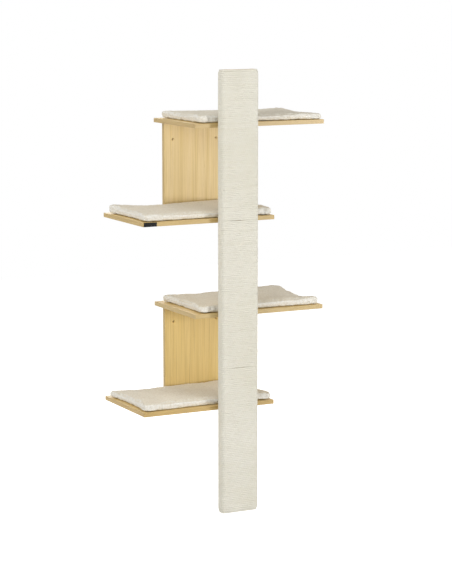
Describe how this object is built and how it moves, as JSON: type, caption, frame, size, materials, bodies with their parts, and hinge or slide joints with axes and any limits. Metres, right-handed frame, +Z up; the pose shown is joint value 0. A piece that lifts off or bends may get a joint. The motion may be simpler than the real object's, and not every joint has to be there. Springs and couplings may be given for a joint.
{
  "type": "cat wall shelf",
  "caption": "Wall-mounted cat climber: stacked Z-shaped board units whose padded shelves step left and right, tied at the front by a tall flat rope-wound scratching post.",
  "frame": {"origin": "midway between the upper panel's two wall screw holes, on the wall plane", "axes": "+Z up, +X right along the wall seen from the room, +Y into the wall; the shelf stands at Y below 0"},
  "size_m": [0.706, 0.3776, 1.56],
  "materials": {
    "laminate": "satin wood-grain laminate on board",
    "edge_band": "satin wood-grain edge band",
    "core_wood": "plain sawn softwood",
    "sisal_rope": "twisted bleached sisal rope",
    "fleece": "short-pile off-white fleece",
    "zinc_steel": "zinc-plated",
    "hook_and_loop": "hook-and-loop tape"
  },
  "bodies": {
    "wall_frame": {"bottom_bracket_left": "zinc_steel", "bottom_bracket_right": "zinc_steel", "bottom_shelf": "laminate", "bottom_shelf_edge_band": "edge_band", "bracket_post_screws": "zinc_steel", "bracket_shelf_screws": "zinc_steel", "lower_back_panel": "laminate", "lower_panel_edge_bands": "edge_band", "post_core_bottom": "core_wood", "post_core_middle": "core_wood", "post_core_top": "core_wood", "post_dowels": "core_wood", "post_rope_bottom": "sisal_rope", "post_rope_middle": "sisal_rope", "post_rope_top": "sisal_rope", "post_studs": "zinc_steel", "second_bracket_left": "zinc_steel", "second_bracket_right": "zinc_steel", "second_shelf": "laminate", "second_shelf_edge_band": "edge_band", "shelf_dowels": "core_wood", "shelf_hook_tabs": "hook_and_loop", "shelf_screws": "zinc_steel", "third_bracket_left": "zinc_steel", "third_bracket_right": "zinc_steel", "third_shelf": "laminate", "third_shelf_edge_band": "edge_band", "top_bracket_left": "zinc_steel", "top_bracket_right": "zinc_steel", "top_shelf": "laminate", "top_shelf_edge_band": "edge_band", "upper_back_panel": "laminate", "upper_panel_edge_bands": "edge_band"},
    "top_pad_body": {"top_pad": "fleece", "top_pad_loop_tabs": "hook_and_loop"},
    "second_pad_body": {"second_pad": "fleece", "second_pad_loop_tabs": "hook_and_loop"},
    "third_pad_body": {"third_pad": "fleece", "third_pad_loop_tabs": "hook_and_loop"},
    "bottom_pad_body": {"bottom_pad": "fleece", "bottom_pad_loop_tabs": "hook_and_loop"}
  },
  "joints": [
    {"name": "top_pad_lift", "type": "slide", "parent": "wall_frame", "child": "top_pad_body", "axis": [0, 0, 1], "range_m": [0, 0.2]},
    {"name": "second_pad_lift", "type": "slide", "parent": "wall_frame", "child": "second_pad_body", "axis": [0, 0, 1], "range_m": [0, 0.2]},
    {"name": "third_pad_lift", "type": "slide", "parent": "wall_frame", "child": "third_pad_body", "axis": [0, 0, 1], "range_m": [0, 0.2]},
    {"name": "bottom_pad_lift", "type": "slide", "parent": "wall_frame", "child": "bottom_pad_body", "axis": [0, 0, 1], "range_m": [0, 0.2]}
  ]
}
